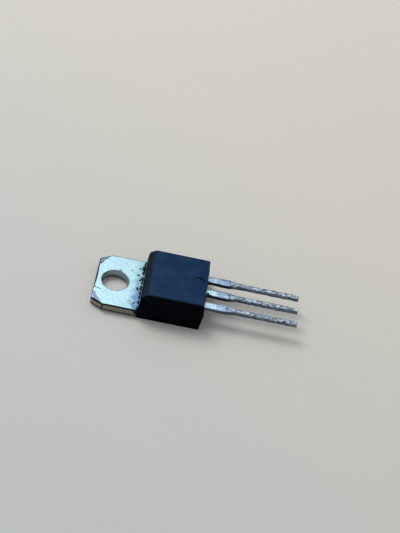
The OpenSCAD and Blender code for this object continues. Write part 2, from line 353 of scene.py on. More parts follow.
# painted shade: darker towards the foot of the outer sides and of the hole wall
side_foot_shade = on_side * (1 - smooth_step(z, 0.1, 0.42)) * 0.75
hole_foot_shade = in_hole * (1 - smooth_step(z, 0.1, 0.4)) * 0.7
dark = np.max([on_top * np.maximum(edge_reflection_band, hole_rim_reflection_band), side_foot_shade, hole_foot_shade, seam,
               np.clip(nick * 1.35, 0, 1)], axis=0)
bare = is_cut * np.where(rho < HOLE_R + 0.1, 0.45, 1.0)
zones = np.stack([dark, bare, stain], -1)
plate_cells = ring_cells(len(rho), len(bearing), rows_join=True)
plate = make_piece("heatsink_plate", points, plate_cells, zones=zones)
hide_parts("heatsink_header")

# %% [markdown]
# ## The leads
# Each lead is a flat strip. It is wide where it leaves the epoxy, a little wider where the dam
# bar was cut away, then narrow to the tip. The strip is sheared, so its upper corners are rolled
# and its lower ones sharp, and beyond the dam bar it carries a lumpy coat of solder. That is a
# rounded section of changing width, carried along a path. The anode lead's path climbs a crank
# from the pad to the level of the others.

# %% The section
def strip_section():
    """Points round a rounded rectangle, as the share of the flat across and up, and the angle of
    the corner arc. Flats are cut up too, so that solder can bulge on them."""
    corner = fan(5, 0, np.pi / 2)
    flat, edge = fan(13, 1, -1)[1:-1], fan(6, 1, -1)[1:-1]
    pieces = []
    for quarter_turn, (across, rise) in enumerate([(1, 1), (-1, 1), (-1, -1), (1, -1)]):
        base = quarter_turn * np.pi / 2
        pieces.append(np.stack([0 * corner + across, 0 * corner + rise, base + corner], 1))
        if quarter_turn % 2 == 0:
            pieces.append(np.stack([flat * across, 0 * flat + rise, 0 * flat + base + np.pi / 2], 1))
        else:
            pieces.append(np.stack([0 * edge + across, edge * rise, 0 * edge + base + np.pi / 2], 1))
    return np.concatenate(pieces)


# %% The path and its width
BEND_SOFT = 0.06  # how softly the bends are rounded


def half_width(x, has_post):
    """Half the strip's width along X: straight lines from the root's width to the dam bar's and
    the pin's. A lead with a post has the post's width first, then a neck less a round notch."""
    turns = [DAM_X, DAM_X + 0.25, SHOULDER_X - 0.4, SHOULDER_X + 0.9]
    half = np.interp(x, turns, np.array([ROOT_W, DAM_W, DAM_W, PIN_W]) / 2)
    if has_post:
        notch = np.sqrt(np.maximum(0, NOTCH_R ** 2 - (x - NOTCH_X) ** 2))
        half = np.where(x < POST_END, POST_W / 2, half - notch)
    return half


def lead_stations(start):
    """Places along X: sudden steps have a station on each side, and the length in the open is
    cut finely for the solder."""
    return np.unique(np.round(np.concatenate([
        fan(14, start, PARTING_X), [POST_END - 0.005, POST_END + 0.005],
        fan(9, NOTCH_X - NOTCH_R, NOTCH_X + NOTCH_R),
        [DAM_X, DAM_X + 0.03, SHOULDER_X, SHOULDER_X + 0.14],
        np.arange(PARTING_X, TIP_X - 0.1, 0.085)]), 4))


def centre_height(x, cranked):
    """Height of the strip's middle: level, or up the crank with both bends rounded off, as the
    soft maximum of 0 and the rise, less the soft maximum of 0 and what passes the top."""
    level = (LEAD_Z + LEAD_TOP) / 2
    if not cranked:
        return 0 * x + level
    slope = (level - CRANK_Z) / (CRANK_TOP_X - CRANK_X - 0.15)
    rise = (x - CRANK_X + 0.05) * slope
    past_top = rise - level + CRANK_Z
    bends = np.logaddexp(0, rise / BEND_SOFT) - np.logaddexp(0, past_top / BEND_SOFT)
    return CRANK_Z + BEND_SOFT * bends


# %% One lead as a carried section
DIP_FROM, DIP_TO, COAT_T, COAT_MOST = 15.5, 17.2, 0.025, 0.035  # the dip along X, its coat
TOP_EDGE, FOOT_EDGE, DIPPED_EDGE, TIP_ROLL = 0.1, 0.05, 0.11, 0.07  # radii of the section and the tip


def make_lead(name, y, start, seed, cranked):
    """The section is set square to the path at every station, shrunk to the local width, pushed
    out by the relief of the solder, and drawn in to a rounded tip."""
    x = lead_stations(start)
    tip = fan(6, 0, np.pi / 2)[1:]
    inset = np.concatenate([0 * x, TIP_ROLL * (1 - np.cos(tip))])
    x = np.concatenate([x, TIP_X - 0.09 + 0.085 * np.sin(tip)])
    z = centre_height(x, cranked)
    slope = np.gradient(z, x)
    up_x, up_z = -slope / np.hypot(1, slope), 1 / np.hypot(1, slope)
    coat = COAT_T * smooth_step(x, 14.5, 17.0)
    half = half_width(x, not cranked) - inset + coat
    thick = LEAD_T / 2 - inset + coat
    across, rise, angle = strip_section().T
    dipped = smooth_step(x, DIP_FROM, DIP_TO)
    x, z, up_x, up_z, half, thick, wet = (
        part[:, None] for part in (x, z, up_x, up_z, half, thick, dipped))
    radius = np.where(np.sin(angle) > 0, TOP_EDGE, FOOT_EDGE) + DIPPED_EDGE * wet
    radius = np.minimum(radius, thick * 0.95)
    side = across * (half - radius) + radius * np.cos(angle)
    lift = rise * (thick - radius) + radius * np.sin(angle)
    points = np.stack([x + lift * up_x, side + y, z + lift * up_z], -1)

    # Solder: long lumps down the lead and finer ones between, thicker as the dip deepens
    stretched = points * [0.45, 1, 1]
    lumps = 0.009 * ripple(stretched, 0.8, seed) + 0.012 * ripple(stretched, 0.3, seed + 1)
    burr = 0.006 * ripple(points, 0.3, seed + 2) * smooth_step(x, PARTING_X, PARTING_X + 0.3)
    bulge = lumps * (0.15 * smooth_step(x, PARTING_X, 13.6) + 0.85 * wet) + burr * (1 - wet)
    bulge = np.clip(bulge, -COAT_MOST, COAT_MOST)
    points[..., 1] += bulge * np.cos(angle)
    points[..., 2] += bulge * np.sin(angle)
    points[..., 0] = np.minimum(points[..., 0], TIP_X)
    middle = points[-1].mean(0)
    rings = [middle + (points[-1] - middle) * [1, k, k] + [0.008 * (1 - k), 0, 0] for k in (0.7, 0.35)]
    points = np.concatenate([points, rings])
    points[..., 0] = np.minimum(points[..., 0], TIP_X)

    # Red marks rolled corners, painted dark as a dark reflection, and a line of painted shade along
    #     # the far edge near the case; green sheared sides, dark metal with painted shade; blue
    #     solder.
    #     # The cathode lead, whose near side faces open space, gets lighter painted shade near the
    #     case
    #     # and a fainter shade line
    bright = y < -1
    solder = np.concatenate([dipped, [1, 1]])[:, None] + 0 * angle
    on_cut_side = np.abs(np.cos(angle)) > 0.8
    sheared = on_cut_side * (1 - (0.1 if bright else 0.45) * solder) * (0.75 if bright else 1)
    far_edge_shade = smooth_step(across, 0.7, 0.92) * (np.sin(angle) > 0.5) * (0.3 if bright else 0.9)
    rolled = np.clip(1 - np.abs(np.abs(np.cos(angle)) - 0.6) / 0.45, 0, 1) * (1 - 0.5 * solder)
    rolled = np.maximum(rolled, far_edge_shade * (1 - 0.6 * solder))
    zones = np.stack([rolled, sheared, solder], -1)
    return make_bar(name, points, zones=zones)


# %% The three leads
POST_L = 1.35  # length of a bond post
anode = make_lead("anode_pin", 0.0, PAD_END - 0.1, 200, cranked=True)
cathode = make_lead("cathode_pin", -PITCH, POST_END - POST_L, 300, cranked=False)
gate = make_lead("gate_pin", PITCH, POST_END - POST_L, 400, cranked=False)
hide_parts("heatsink_header")
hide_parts("cathode_lead")
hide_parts("gate_lead")

# %% [markdown]
# ## The moulded case
# The construction model already has the drafts, the bevel over the tab and the ejector mark, but
# its edges are knife-sharp, as no mould makes them. A copy of its mesh is merged into whole faces
# and its outer edges get a small rounded bevel, wider on top than at the foot. The lower part of
# the end wall over the tab is cut off as faces of its own, for its finer finish.

# %% Which edges are rounded
DRAFT, LEAD_END_X, LEAST_TURN, NEARLY = 7, 12.6, 0.2, 0.01
SLOPE_L, SLOPE_FOOT = 1.0, (3.5, 3.8)  # length of the slope over the tab, and the heights of its foot


def edge_rounding(edge):
    """Share of the full bevel for an edge of the moulding: all of it at the top of the slope, less
    round the top, the sides and the foot of the slope, little underneath, none on inner edges and
    on the ejector mark."""
    if not edge.is_convex or len(edge.link_faces) != 2 or edge.calc_face_angle(0) < LEAST_TURN:
        return 0.0
    middle = (edge.verts[0].co / MM + edge.verts[1].co / MM) / 2
    half = body_high[1] - middle.z * math.tan(math.radians(DRAFT))
    on_side = abs(abs(middle.y) - half) < 2 * NEARLY
    on_end = middle.x < BODY_X + 1.3 or middle.x > LEAD_END_X
    from_mark = math.hypot(middle.x - MARK_X, middle.y - MARK_Y)
    if middle.z > BODY_TOP - NEARLY and abs(middle.x - BODY_X - SLOPE_L) < 0.3 and not on_side:
        return 1.0
    if middle.z > BODY_TOP - NEARLY and (on_side or on_end) and from_mark > MARK_R + 0.05:
        return 0.5
    if on_side and middle.z > NEARLY:
        return 0.4
    if middle.z < NEARLY and (on_side or middle.x > LEAD_END_X):
        return 0.18
    if SLOPE_FOOT[0] < middle.z < SLOPE_FOOT[1] and middle.x < BODY_X + 0.4:
        return 0.6
    return 0.0


def in_end_wall(normal_x, centre_x, centre_z):
    """Whether a face of the case, given in metres, belongs to the end wall above the tab."""
    return (normal_x < -0.98) & (centre_x < (BODY_X + 0.3) * MM) & (centre_z > TAB_T * MM)


# %% Rounded copy of the moulding
POLISHED_TO = 2.8
case_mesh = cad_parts["moulded_body"].data.copy()
case = new_object("moulded_case", case_mesh)
work = bmesh.new()
work.from_mesh(case_mesh)
bmesh.ops.remove_doubles(work, verts=work.verts, dist=1e-7)
bmesh.ops.dissolve_limit(work, angle_limit=math.radians(0.5), verts=work.verts, edges=work.edges)
end_wall = [face for face in work.faces if in_end_wall(
    face.normal.x, face.calc_center_median().x, face.calc_center_median().z)]
wall_parts = end_wall + [part for face in end_wall for part in (*face.edges, *face.verts)]
bmesh.ops.bisect_plane(work, geom=list(set(wall_parts)), plane_co=(0, 0, POLISHED_TO * MM),
                       plane_no=(0, 0, 1))
weight = work.edges.layers.float.new("bevel_weight_edge")
rounded = 0
for edge in work.edges:
    edge[weight] = edge_rounding(edge)
    rounded += edge[weight] > 0
work.to_mesh(case_mesh)
work.free()
case_mesh.shade_smooth()
case_mesh.set_sharp_from_angle(angle=math.radians(25))
bevel = case.modifiers.new("mould edges", "BEVEL")
bevel.limit_method = "WEIGHT"
bevel.width = 0.4 * MM
bevel.segments = 5
bevel.use_clamp_overlap = False
face_weight = case.modifiers.new("flat faces stay flat", "WEIGHTED_NORMAL")
face_weight.keep_sharp = True
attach(case, "root")
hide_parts("moulded_body")
print("moulded_case:", len(case_mesh.polygons), "faces,", rounded, "rounded edges")

# %% [markdown]
# ## Flash from the mould
# Where the two mould halves shut on the metal, a little resin escapes. It leaves black crumbs on
# the tab beside the case, a wisp and a small flap in the far corner, a ragged line at the foot of
# the end wall, and a thin fin on the parting line between the leads. Crumbs are flattened balls
# with a wandering outline. The line and the fin are thin sections carried along a straight path,
# with a width that wanders.

# %% Where the crumbs lie
CRUMBS = np.array([  # centre x, y, half length, half width, turn in degrees, height
    (3.78, 4.1, 0.56, 0.17, 87, 0.34), (3.64, 3.4, 0.42, 0.17, 80, 0.07),
    (3.72, 3.05, 0.24, 0.14, 90, 0.12), (3.5, 3.6, 0.2, 0.12, 35, 0.04),
    (3.36, 3.15, 0.36, 0.1, -17, 0.04), (3.12, 3.26, 0.16, 0.1, -40, 0.04),
    (3.08, 1.9, 0.3, 0.13, 24, 0.04), (3.56, 1.62, 0.16, 0.07, 0, 0.02),
    (3.42, 0.93, 0.18, 0.18, 0, 0.04), (3.28, -0.72, 0.18, 0.26, 15, 0.05),
    (3.4, -1.0, 0.2, 0.11, -25, 0.05), (3.62, -1.06, 0.24, 0.08, -6, 0.04),
    (3.76, 2.1, 0.07, 0.24, 0, 0.04), (3.74, 1.3, 0.1, 0.3, 0, 0.05),
    (3.7, 0.55, 0.13, 0.24, 0, 0.05), (3.7, -0.2, 0.12, 0.22, 0, 0.05),
    (3.76, -1.6, 0.07, 0.3, 0, 0.04), (3.74, -2.4, 0.1, 0.32, 0, 0.05),
    (3.75, -3.3, 0.08, 0.36, 0, 0.04)])
ROOT_CRUMBS = np.array([  # on the leads where they leave the case
    (13.16, -0.36, 0.24, 0.2, 20, 0.05), (13.5, -0.5, 0.28, 0.08, 0, 0.04),
    (13.05, 0.5, 0.12, 0.08, 0, 0.04), (13.1, 2.1, 0.2, 0.08, 0, 0.03)])
SIDE_CRUMBS = np.array([  # on the tab's near side, by x and z
    (3.62, 0.75, 0.2, 0.42, 0, 0.03), (3.4, 0.95, 0.3, 0.16, 20, 0.02)])
print(len(CRUMBS), len(ROOT_CRUMBS), len(SIDE_CRUMBS), "crumbs")

# %% Crumbs of resin
SUNK = 0.012  # how far a crumb's middle lies inside what carries it


def make_crumbs(name, crumbs, ground, seed, across=(0, 1, 0), out=(0, 0, 1)):
    """Flattened balls on the plane through ground, which spans X and the direction across. The
    radius in plan is the ellipse times one plus three random waves of the angle, and the height
    is the cosine of the polar angle times a lumpy factor."""
    draw = np.random.default_rng(seed)
    polar = fan(10, 0.06, np.pi - 0.06)[None, :, None]
    angle = fan(26, 0, 2 * np.pi, last=False)[None, None, :]
    count = len(crumbs)
    u0, v0, long, wide, turn, high = (crumbs[:, k, None, None] for k in range(6))
    size, phase = draw.uniform(0.1, 0.26, (2, 3, count, 1, 1))
    phase = phase * 24  # spreads the second draw over more than half a turn
    edge = 1 + sum(size[k] * np.cos((k + 2) * angle + phase[k]) for k in range(3)) / 2
    a = long * edge * np.sin(polar) * np.cos(angle)
    b = wide * edge * np.sin(polar) * np.sin(angle)
    cosine, sine = np.cos(np.radians(turn)), np.sin(np.radians(turn))
    lump = 1 + 0.25 * np.cos(3 * angle + phase[0]) * np.sin(2 * polar)
    rise = np.where(np.cos(polar) > 0, high * lump, 0.02) * np.cos(polar) + 0 * angle
    parts = (u0 + a * cosine - b * sine, v0 + a * sine + b * cosine, ground + rise)
    ways = ((1, 0, 0), across, out)
    points = sum(part[..., None] * np.array(way, float) for part, way in zip(parts, ways))
    rows, columns = polar.shape[1], angle.shape[2]
    starts = np.arange(count) * rows * columns
    cells = (ring_cells(rows, columns)[None] + starts[:, None, None]).reshape(-1, 4)
    ring = np.arange(columns)
    caps = [ring[::-1] + first for first in starts]
    caps += [ring + (rows - 1) * columns + first for first in starts]
    return make_piece(name, points, cells, caps, sharp=60)


crumbs = make_crumbs("flash_crumbs", CRUMBS, TAB_T - SUNK, 51)
root_crumbs = make_crumbs("root_crumbs", ROOT_CRUMBS, LEAD_TOP - SUNK, 52)
side_crumbs = make_crumbs("side_crumbs", SIDE_CRUMBS, TAB_HALF - SUNK, 53,
                          across=(0, 0, 1), out=(0, -1, 0))

# %% Foot line and fin
def make_bead(name, start, end, out, half_out, half_up, seed, wavy=0.25, gaps=()):
    """A thin oval section carried from start to end. It stands proud by half_out times a random
    factor along the path, and sinks into the wall inside the gaps."""
    start, end, out = map(np.array, (start, end, out))
    run = np.linalg.norm(end - start)
    t = fan(int(run / 0.07))[:, None]
    path = start + t * (end - start)
    wander = 1 - wavy + wavy * ripple(path, 0.8, seed)
    clear = [1 - smooth_step(-abs(path[:, 1] - gap), -0.75, -0.6) for gap in gaps]
    clear = np.min([0 * wander + 1, *clear], axis=0)
    proud = np.clip(wander, 0.05, 1.4) * clear * half_out - 0.01
    tall = half_up * (0.4 + 0.6 * clear)
    angle = fan(10, 0, 2 * np.pi, last=False)
    up = np.cross((end - start) / run, out)
    points = path[:, None] + (proud[:, None] * np.cos(angle))[..., None] * out \
        + (tall[:, None] * np.sin(angle))[..., None] * up
    return make_bar(name, points, sharp=60)


line = make_bead("foot_line", (BODY_X, -4.8, TAB_T), (BODY_X, 2.9, TAB_T), (-1.0, 0.0, 0.0),
                 0.22, 0.03, 63, wavy=0.5)
fin_z = (LEAD_Z + LEAD_TOP) / 2
fin = make_bead("parting_fin", (PARTING_X - 0.01, -4.7, fin_z), (PARTING_X - 0.01, 4.7, fin_z),
                (1.0, 0.0, 0.0), 0.07, 0.03, 62, gaps=(-PITCH, 0.0, PITCH))
leaked = (crumbs, root_crumbs, side_crumbs, line, fin)

# %% [markdown]
# ## Helpers for materials
# A colour is written as the hex value that a screen shows, and one function turns it into the
# linear numbers that the shader works in. One small function adds a node with its settings and
# links. A finish is one colour laid over another, where a pattern, a mask or a direction says so.
# Patterns read Object coordinates, and the pieces sit at the origin, so lengths there are real.

# %% Colours and nodes
def linear(hex_colour):
    """sRGB hex to linear RGBA: each channel to the power 2.4 above the short straight foot."""
    s = np.array([int(hex_colour[k:k + 2], 16) for k in (1, 3, 5)]) / 255
    return (*np.where(s > 0.04045, ((s + 0.055) / 1.055) ** 2.4, s / 12.92), 1.0)


def connect(material, inputs, node=None):
    """Gives a node, or else the material's own shader, its inputs by name or by number. An input
    that is another node's output is linked, and anything else is set."""
    node = node or material.node_tree.nodes["Principled BSDF"]
    for name, value in inputs.items():
        if isinstance(value, bpy.types.NodeSocket):
            material.node_tree.links.new(value, node.inputs[name])
        else:
            node.inputs[name].default_value = value


def add(material, kind, inputs=None, **settings):
    """Adds one node with its inputs and settings, and gives back its outputs."""
    node = material.node_tree.nodes.new("ShaderNode" + kind)
    for name, value in settings.items():
        setattr(node, name, value)
    connect(material, inputs or {}, node)
    return node.outputs


def new_material(name, **sockets):
    """A material with one Principled shader, whose plain sockets are set here."""
    material = bpy.data.materials.new(name)
    material.use_nodes = True
    connect(material, {socket.replace("_", " "): value for socket, value in sockets.items()})
    return material


# %% Places and masks
def per_metre(size_mm):
    """Scale of a pattern whose lumps are about this big: one unit of scaled place each."""
    return 1 / (size_mm * MM)


def stretched_place(material, x=1.0, z=1.0):
    """Object coordinates, squeezed along an axis so that the pattern on it runs long."""
    place = add(material, "TexCoord")["Object"]
    return add(material, "Mapping", {"Vector": place, "Scale": (x, 1.0, z)})[0]


def upward(material):
    """How far a face looks up: 1 on top, 0 on a wall, -1 underneath."""
    return add(material, "SeparateXYZ", {0: add(material, "NewGeometry")["Normal"]})[2]


def zone_masks(material):
    """The three masks that a piece carries in its attribute 'zones'."""
    return add(material, "SeparateColor", {0: add(material, "Attribute", attribute_name="zones")[0]})


# %% Shares and layers
def share_of(material, *parts, operation="MULTIPLY"):
    """The product or the sum of the parts, held between 0 and 1. A part is a number, a socket, or
    a socket with the two values between which it rises smoothly from 0 to 1, or from one given
    share to another."""
    total = None
    for part in parts:
        if isinstance(part, tuple):
            part = add(material, "MapRange", dict(enumerate(part)), interpolation_type="SMOOTHSTEP")[0]
        if total is not None:
            part = add(material, "Math", {0: total, 1: part}, operation=operation, use_clamp=True)[0]
        total = part
    return total


def layer(material, under, over, *parts):
    """One colour over another, each a hex value or a socket, by the product of the parts."""
    under, over = (linear(colour) if isinstance(colour, str) else colour for colour in (under, over))
    share = share_of(material, *parts)
    return add(material, "Mix", {0: share, 6: under, 7: over}, data_type="RGBA")[2]


def cover(pieces, material):
    """Gives each piece its one material."""
    for piece in pieces:
        piece.data.materials.append(material)
        print(piece.name, "gets", material.name)


# %% [markdown]
# ## Tin on the plate
# The copper is plated with tin and then baked with the resin, which leaves a pale, faintly
# crystalline skin: bright on top, clouded by lilac breath of resin near the case and on the
# pressed corners, dull grey on the back where it slid on its carrier. Sheared edges are bare and
# beige. Painted light is laid over this: a bluish cast on top for the cool window that the tin
# mirrors, a dark band on the rolled edges for their dark reflection, painted shade at the foot of
# the sides and the hole, and a darker near pressed corner. Tin is a metal, so the colour is that
# of its reflection and the default IOR stays.

# %% Tin plate
def tin_plate():
    """Bright crystals, clouds and stain on top, a scuffed back, scored bare sides, dark edges. The
    bluish cast on top and the dark edges and feet are painted reflection and painted shade.
    """
    tin = new_material("tin_plate", Metallic=1.0)
    place = stretched_place(tin)
    x, y, _ = add(tin, "SeparateXYZ", {0: place})
    dark, bare, stained = zone_masks(tin)
    crystals = add(tin, "TexNoise", {
        "Vector": place, "Scale": per_metre(0.42), "Detail": 4, "Roughness": 0.65})[0]
    clouds = add(tin, "TexNoise", {
        "Vector": place, "Scale": per_metre(2.2), "Detail": 2, "Roughness": 0.55})[0]
    scuffs = add(tin, "TexNoise", {
        "Vector": stretched_place(tin, x=0.08), "Scale": per_metre(0.12),
        "Detail": 4, "Roughness": 0.7})[0]
    scored = add(tin, "TexNoise", {
        "Vector": stretched_place(tin, z=0.25), "Scale": per_metre(0.14),
        "Detail": 3, "Roughness": 0.55})[0]

    # the bluish cast of these tin colours is a painted reflection of the cool window
    colour = layer(tin, "#ACD0DE", "#C2E4EA", (crystals, 0.36, 0.62))
    colour = layer(tin, colour, "#B8D6E4", (clouds, 0.42, 0.72, 0.0, 0.5))
    # the near pressed corner is painted darker than the far one: painted shade over the tarnish
    pressed = layer(tin, "#4E5A72", "#617287", (y, -1 * MM, 1 * MM))
    stain_and_facet_shade = layer(tin, pressed, "#3C66A0", (x, 1 * MM, 2 * MM))
    colour = layer(tin, colour, stain_and_facet_shade, stained, (crystals, 0.3, 0.6, 0.75, 1.0))

    on_back = share_of(tin, (upward(tin), -0.4, -0.9))
    back = layer(tin, "#9C9F9C", "#ABADA9", (clouds, 0.25, 0.75))
    back = layer(tin, back, "#C9CBC8", (scuffs, 0.5, 0.75, 0.0, 0.5))
    colour = layer(tin, colour, back, on_back)
    colour = layer(tin, colour, layer(tin, "#8F8A82", "#B0AA9F", (scored, 0.35, 0.65)), bare)
    # painted dark reflection on the rolled edges and painted shade at the feet, with the dark seams
    # and nicks
    colour = layer(tin, colour, "#23282B", dark)

    rough = share_of(tin, (crystals, 0.3, 0.7, 0.36, 0.27), share_of(tin, bare, 0.2),
                     share_of(tin, on_back, 0.12), operation="ADD")
    relief = add(tin, "Bump", {"Height": crystals, "Distance": 0.012 * MM})[0]
    connect(tin, {"Base Color": colour, "Roughness": rough, "Normal": relief})
    return tin


cover([plate], tin_plate())

# %% [markdown]
# ## Solder on the leads
# Hot dipping leaves a bluish-grey coat that froze while it ran: streaks down the lead, bright
# crests and dull, oxidised hollows. The crests are painted lighter as a painted highlight, more so
# towards the tip. Near the case the lead is still bright flat tin, which the resin has breathed on,
# and a dark line marks where the dip ended. The tin's bluish cast is a painted reflection, and the
# dark sides and corners carry painted shade and a painted dark reflection.

# %% Dipped solder
def dipped_solder():
    """Flat tin, its lilac breath with fine cracks, the coat with crests painted lighter as a highlight
    towards the tip, the dark shore between the two, and dark sheared sides and rolled corners with
    painted shade and a painted dark reflection."""
    solder = new_material("dipped_solder", Metallic=1.0)
    streaky = stretched_place(solder, x=0.4)
    x, y, _ = add(solder, "SeparateXYZ", {0: stretched_place(solder)})
    rolled, sheared, dipped = zone_masks(solder)
    runs = add(solder, "TexNoise", {
        "Vector": streaky, "Scale": per_metre(0.2), "Detail": 4, "Roughness": 0.6})[0]
    patches = add(solder, "TexNoise", {
        "Vector": streaky, "Scale": per_metre(0.9), "Detail": 3, "Roughness": 0.55})[0]

    breath = share_of(solder, (x, 13.9 * MM, 14.9 * MM, 0.0, 0.8), (y, 1.2 * MM, 2 * MM, 0.0, 0.5),
                      operation="ADD")
    breath = share_of(solder, breath, (patches, 0.3, 0.55, 0.5, 1.0))
    # the bluish cast of the flat tin is a painted reflection of the cool window
    flat = layer(solder, "#A8CCDC", "#D2F0F8", (runs, 0.35, 0.6))
    flat = layer(solder, flat, "#8C9DC4", breath)
    flat = layer(solder, flat, "#46566E", breath, (runs, 0.44, 0.34, 0.0, 0.7))

    # painted highlight: crests are painted lighter than the oxidised hollows, and lighter still
    # towards the tip
    crest_highlight = layer(solder, "#BECEDA", "#DCEAF2", (x, 18 * MM, 23 * MM))
    coat = layer(solder, "#3A4753", crest_highlight, (runs, 0.38, 0.6))
    coat = layer(solder, coat, "#8C9CBA", (patches, 0.42, 0.62, 0.0, 0.5))

    edge = share_of(solder, dipped, (patches, 0.35, 0.65, -0.12, 0.12), operation="ADD")
    colour = layer(solder, flat, coat, (edge, 0.2, 0.4))
    colour = layer(solder, colour, "#2C3642", (edge, 0.16, 0.28), (edge, 0.44, 0.32), 0.6)
    # painted shade on the sheared sides, over their own dark metal, and a painted dark reflection on
    # the rolled corners
    colour = layer(solder, colour, "#1E2124", sheared, 0.95)
    colour = layer(solder, colour, "#2A3238", rolled, 0.8)

    rough = share_of(solder, (runs, 0.35, 0.65, 0.42, 0.26))
    relief = add(solder, "Bump", {"Height": runs, "Distance": 0.05 * MM})[0]
    connect(solder, {"Base Color": colour, "Roughness": rough, "Normal": relief})
    return solder


cover((anode, cathode, gate), dipped_solder())

# %% [markdown]
# ## Epoxy
# The moulding compound is black with a cold cast, filled with fused silica. The mould was spark
# eroded, so the skin has a fine even grain that scatters light. The grain is about 0.03 mm, too
# fine to show, so it is drawn near 0.1 mm. The lower part of the end wall over the tab comes from
# a smoother mould face, and mirrors the tin at its foot when it is seen along the wall. The case
# is left bare of any marking. The lighter grey on the slope and the bluish sheen on faces that
# look up are painted light, paler towards the near corner of the tab end.

# %% Moulding compound
GRAIN_D, FINE_GRAIN_D = 0.006, 0.001  # depth of the grain, and of the finer one


def moulding_compound(name, specular=0.02, polish=0.0):
    """Black on walls. The slope is painted a lighter dark grey, and faces that look up carry a painted
    bluish sheen, clouded at 1.6 mm and paler towards the near corner of the tab end: painted light."""
    resin = new_material(name, Specular_IOR_Level=specular)
    place, facing = stretched_place(resin), upward(resin)
    clouds = add(resin, "TexNoise", {
        "Vector": place, "Scale": per_metre(1.6), "Detail": 4, "Roughness": 0.6})[0]
    grain = add(resin, "TexNoise", {
        "Vector": place, "Scale": per_metre(0.1), "Detail": 3, "Roughness": 0.55})[0]
    painted_light_gradient = add(resin, "VectorMath", {0: place, 1: (-60.0, -80.0, 0.0)},
                operation="DOT_PRODUCT")["Value"]
    cloudy = share_of(resin, (clouds, 0.34, 0.66, 0.0, 0.6), (painted_light_gradient, -1.1, -0.1, 0.0, 0.4),
                      operation="ADD")
    wall = layer(resin, "#05080E", "#0A0E15", (clouds, 0.35, 0.65))
    painted_sheen = layer(resin, "#172E53", "#233C57", cloudy)
    # painted light: the slope is painted lighter than the walls, and the top gets a painted bluish
    # sheen
    colour = layer(resin, wall, "#1D2731", (facing, 0.3, 0.7))
    colour = layer(resin, colour, painted_sheen, (facing, 0.8, 0.99))
    rough = share_of(resin, (clouds, 0.35, 0.65, 0.62 - polish, 0.54 - polish),
                     (facing, 0.2, 0.6, 0.0 if polish else 0.3, 0.0), operation="ADD")
    relief = add(resin, "Bump", {
        "Height": grain, "Distance": (FINE_GRAIN_D if polish else GRAIN_D) * MM})[0]
    connect(resin, {"Base Color": colour, "Roughness": rough, "Normal": relief})
    return resin


case.data.materials.clear()
case.data.materials.append(moulding_compound("epoxy_moulding_compound"))
case.data.materials.append(moulding_compound("epoxy_polished_wall", specular=0.06, polish=0.38))
normals, centres = np.empty((2, len(case_mesh.polygons) * 3), np.float32)
case_mesh.polygons.foreach_get("normal", normals)
case_mesh.polygons.foreach_get("center", centres)
smoother = in_end_wall(normals[::3], centres[::3], centres[2::3]) & (centres[2::3] < POLISHED_TO * MM)
case_mesh.polygons.foreach_set("material_index", smoother.astype(np.int32))
print("smoother finish on", smoother.sum(), "faces of", len(smoother))

# %% Leaked resin
FILM_FROM, FILM_TO = (1.24, 1.25), (1.29, 1.32)  # heights where the film on the tab starts and ends
FLAP_Y = (3.4, 3.8)


def epoxy_flash():
    """Resin that leaked out: black where it is thick, a blue-grey film where it is thin. The flap
    in the far corner stands free of the wall and is greyer."""
    resin = new_material("epoxy_flash", Roughness=0.55, Specular_IOR_Level=0.1)
    place = stretched_place(resin)
    _, y, z = add(resin, "SeparateXYZ", {0: place})
    mottle = add(resin, "TexNoise", {
        "Vector": place, "Scale": per_metre(0.2), "Detail": 3, "Roughness": 0.55})[0]
    thick = layer(resin, "#0A121B", "#16222F", (mottle, 0.35, 0.65))
    thick = layer(resin, thick, "#2D4650", (y, FLAP_Y[0] * MM, FLAP_Y[1] * MM, 0.0, 0.8))
    colour = layer(resin, thick, "#182E42", (z, FILM_FROM[0] * MM, FILM_FROM[1] * MM),
                   (z, FILM_TO[0] * MM, FILM_TO[1] * MM, 1.0, 0.0))
    connect(resin, {"Base Color": colour})
    return resin


cover(leaked, epoxy_flash())

# %% [markdown]
# ## Inside the case
# The chip, its solder and the bond wires keep the construction model's shapes and only get their
# finishes, so that a cut-open or see-through view shows the right things. Soft solder is dull and
# coarse, drawn aluminium wire is bright with fine lines along it, and the chip has sintered metal
# on top of glass-covered silicon.

# %% Chip, solder and wires
def inner_metal(name, dark, light, size_mm, roughness, stretch=1.0):
    """A metal with a fine two-tone pattern of a given grain."""
    metal = new_material(name, Metallic=1.0, Roughness=roughness)
    pattern = add(metal, "TexNoise", {
        "Vector": stretched_place(metal, x=stretch), "Scale": per_metre(size_mm),
        "Detail": 3, "Roughness": 0.55})[0]
    relief = add(metal, "Bump", {"Height": pattern, "Distance": 0.004 * MM})[0]
    connect(metal, {"Base Color": layer(metal, dark, light, (pattern, 0.35, 0.65)), "Normal": relief})
    return metal


def chip_surface():
    """Sintered aluminium on top of the chip, dark glass-covered silicon on its sloping edge."""
    chip = new_material("metallised_silicon")
    pattern = add(chip, "TexNoise", {
        "Vector": stretched_place(chip), "Scale": per_metre(0.08), "Detail": 3, "Roughness": 0.55})[0]
    metal = layer(chip, "#B9BBBD", "#DADCDD", (pattern, 0.35, 0.65))
    top = share_of(chip, (upward(chip), 0.95, 0.99))
    connect(chip, {"Base Color": layer(chip, "#2C2F3A", metal, top), "Metallic": top,
                   "Roughness": share_of(chip, (top, 0, 1, 0.12, 0.4))})
    return chip


INSIDE = {
    "die_solder": inner_metal("soft_solder", "#8D9095", "#B4B7BA", 0.15, 0.35),
    "thyristor_die": chip_surface(),
    "cathode_wire_inner": inner_metal("drawn_aluminium", "#C6C8CA", "#E2E4E5", 0.05, 0.3, stretch=0.2),
}
INSIDE["cathode_wire_outer"] = INSIDE["gate_wire"] = INSIDE["cathode_wire_inner"]
for node_name, material in INSIDE.items():
    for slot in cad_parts[node_name].material_slots:
        slot.material = material
    print(node_name, "gets", material.name)

